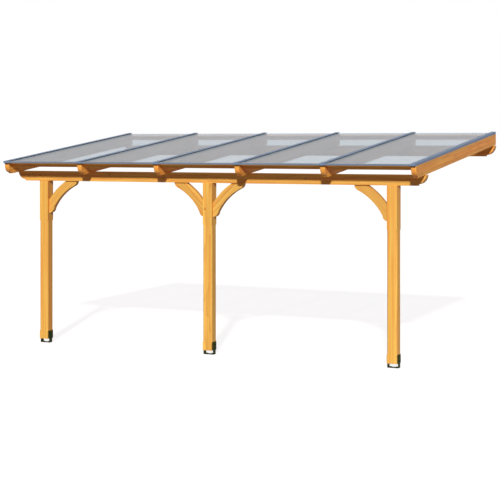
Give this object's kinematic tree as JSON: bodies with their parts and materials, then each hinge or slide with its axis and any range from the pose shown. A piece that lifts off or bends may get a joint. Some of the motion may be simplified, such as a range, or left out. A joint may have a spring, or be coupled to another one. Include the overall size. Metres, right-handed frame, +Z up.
{
  "type": "patio cover",
  "caption": "Lean-to timber patio cover: posts on steel shoes with curved knee braces carry a purlin; rafters run up to a wall purlin under translucent panels and aluminium cover bars.",
  "frame": {"origin": "middle of the wall purlin's back face, in the plane of the wall", "axes": "+X along the wall to the right, +Y into the wall, so the open front faces -Y, +Z up"},
  "size_m": [5.42, 3.0141, 2.6448],
  "materials": {
    "spruce_glulam": "planed glulam spruce, honey-coloured wood stain",
    "spruce_board": "planed spruce board, honey-coloured wood stain",
    "polycarbonate": "extruded multi-wall sheet and clear end profile, smoke grey, translucent",
    "bar_aluminium": "extruded, anodised grey",
    "edge_aluminium": "extruded, mill finish",
    "shoe_steel": "pressed steel plate, dark powder coat",
    "zinc_steel": "zinc-plated bolts, screws and washers",
    "epdm_seal": "extruded black seals"
  },
  "bodies": {
    "root": {"post_left": "spruce_glulam", "post_shoe_left": "shoe_steel", "post_middle": "spruce_glulam", "post_shoe_middle": "shoe_steel", "post_right": "spruce_glulam", "post_shoe_right": "shoe_steel", "front_purlin_left": "spruce_glulam", "front_purlin_right": "spruce_glulam", "wall_purlin": "spruce_glulam", "knee_brace_left_post": "spruce_glulam", "knee_brace_middle_left": "spruce_glulam", "knee_brace_middle_right": "spruce_glulam", "knee_brace_right_post": "spruce_glulam", "rafter_1": "spruce_glulam", "cover_bar_1": "bar_aluminium", "rafter_2": "spruce_glulam", "cover_bar_2": "bar_aluminium", "rafter_3": "spruce_glulam", "cover_bar_3": "bar_aluminium", "rafter_4": "spruce_glulam", "cover_bar_4": "bar_aluminium", "rafter_5": "spruce_glulam", "cover_bar_5": "bar_aluminium", "rafter_6": "spruce_glulam", "cover_bar_6": "bar_aluminium", "front_board_1": "spruce_board", "back_board_1": "spruce_board", "roof_panel_1": "polycarbonate", "front_board_2": "spruce_board", "back_board_2": "spruce_board", "roof_panel_2": "polycarbonate", "front_board_3": "spruce_board", "back_board_3": "spruce_board", "roof_panel_3": "polycarbonate", "front_board_4": "spruce_board", "back_board_4": "spruce_board", "roof_panel_4": "polycarbonate", "front_board_5": "spruce_board", "back_board_5": "spruce_board", "roof_panel_5": "polycarbonate", "front_edge_profile": "edge_aluminium", "back_edge_profile": "polycarbonate"}
  },
  "joints": []
}
